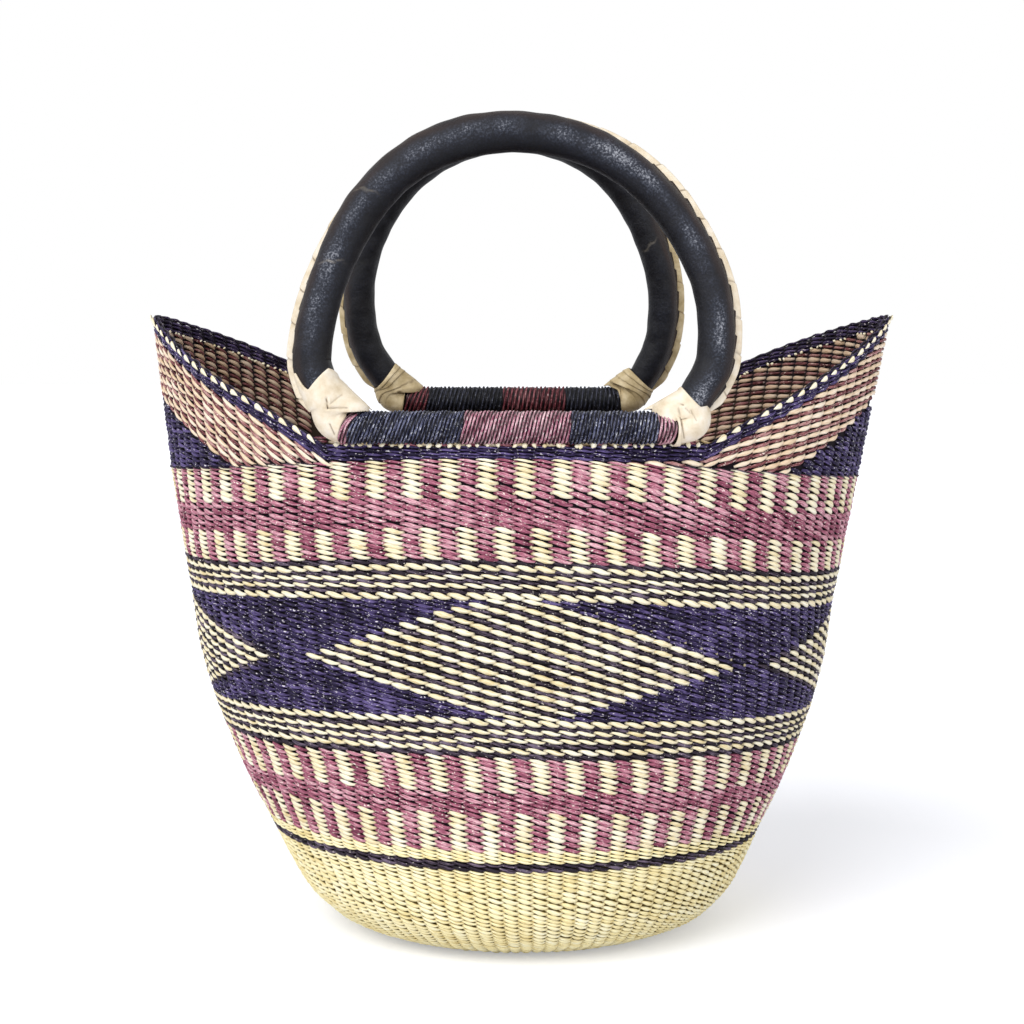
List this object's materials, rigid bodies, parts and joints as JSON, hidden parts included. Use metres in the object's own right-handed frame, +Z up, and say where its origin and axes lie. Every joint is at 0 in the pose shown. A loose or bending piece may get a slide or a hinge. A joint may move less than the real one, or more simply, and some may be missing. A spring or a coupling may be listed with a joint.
{
  "type": "bolga basket",
  "caption": "Boat-shaped twined straw basket with a round base, patterned bands, raised pointed ends and a leather-covered ring handle on each side of the mouth.",
  "frame": {"origin": "middle of the flat base the basket stands on", "axes": "+Z up, +X towards the right raised end seen from the front, -Y towards the front with the larger handle"},
  "size_m": [0.4304, 0.2816, 0.4772],
  "materials": {
    "natural_straw": "undyed veta vera grass, dry and slightly glossy",
    "purple_straw": "dyed grass with pale flecks",
    "check_straw": "rows of cream and of maroon grass",
    "stripe_straw": "rows of cream and of dark purple grass",
    "diamond_straw": "purple grass with cream diamonds",
    "navy_straw": "dyed grass, twisted",
    "pink_straw": "dyed grass, twisted",
    "maroon_straw": "dyed grass, twisted",
    "grass_core": "bundled grass",
    "black_leather": "soft, wrinkled, slightly shiny",
    "cream_leather": "undyed, matt"
  },
  "bodies": {
    "basket": {"woven_base": "natural_straw", "base_turn": "natural_straw", "natural_courses": "natural_straw", "purple_pin_courses": "purple_straw", "lower_check_courses": "check_straw", "lower_stripe_courses": "stripe_straw", "diamond_courses": "diamond_straw", "upper_stripe_courses": "stripe_straw", "upper_check_courses": "check_straw", "left_end_gusset": "check_straw", "right_end_gusset": "check_straw", "rim_courses": "purple_straw", "front_wrap_1_pink": "pink_straw", "front_wrap_2_navy": "navy_straw", "front_wrap_3_pink": "pink_straw", "front_wrap_4_navy": "navy_straw", "front_wrap_5_pink": "pink_straw", "back_wrap_1_maroon": "maroon_straw", "back_wrap_2_navy": "navy_straw", "back_wrap_3_maroon": "maroon_straw", "back_wrap_4_navy": "navy_straw"},
    "front_handle": {"front_handle_core": "grass_core", "front_handle_cover": "black_leather", "front_handle_welt": "cream_leather", "front_handle_cuff_right": "cream_leather", "front_handle_cuff_left": "cream_leather"},
    "back_handle": {"back_handle_core": "grass_core", "back_handle_cover": "black_leather", "back_handle_welt": "cream_leather", "back_handle_cuff_right": "cream_leather", "back_handle_cuff_left": "cream_leather"}
  },
  "joints": [
    {"name": "front_handle_swing", "type": "hinge", "parent": "basket", "child": "front_handle", "pos_m": [-0.0049, -0.1225, 0.2983], "axis": [1, 0, 0], "range_deg": [-31, 130]},
    {"name": "back_handle_swing", "type": "hinge", "parent": "basket", "child": "back_handle", "pos_m": [-0.0055, 0.1225, 0.2983], "axis": [-1, 0, 0], "range_deg": [-31, 85]}
  ]
}
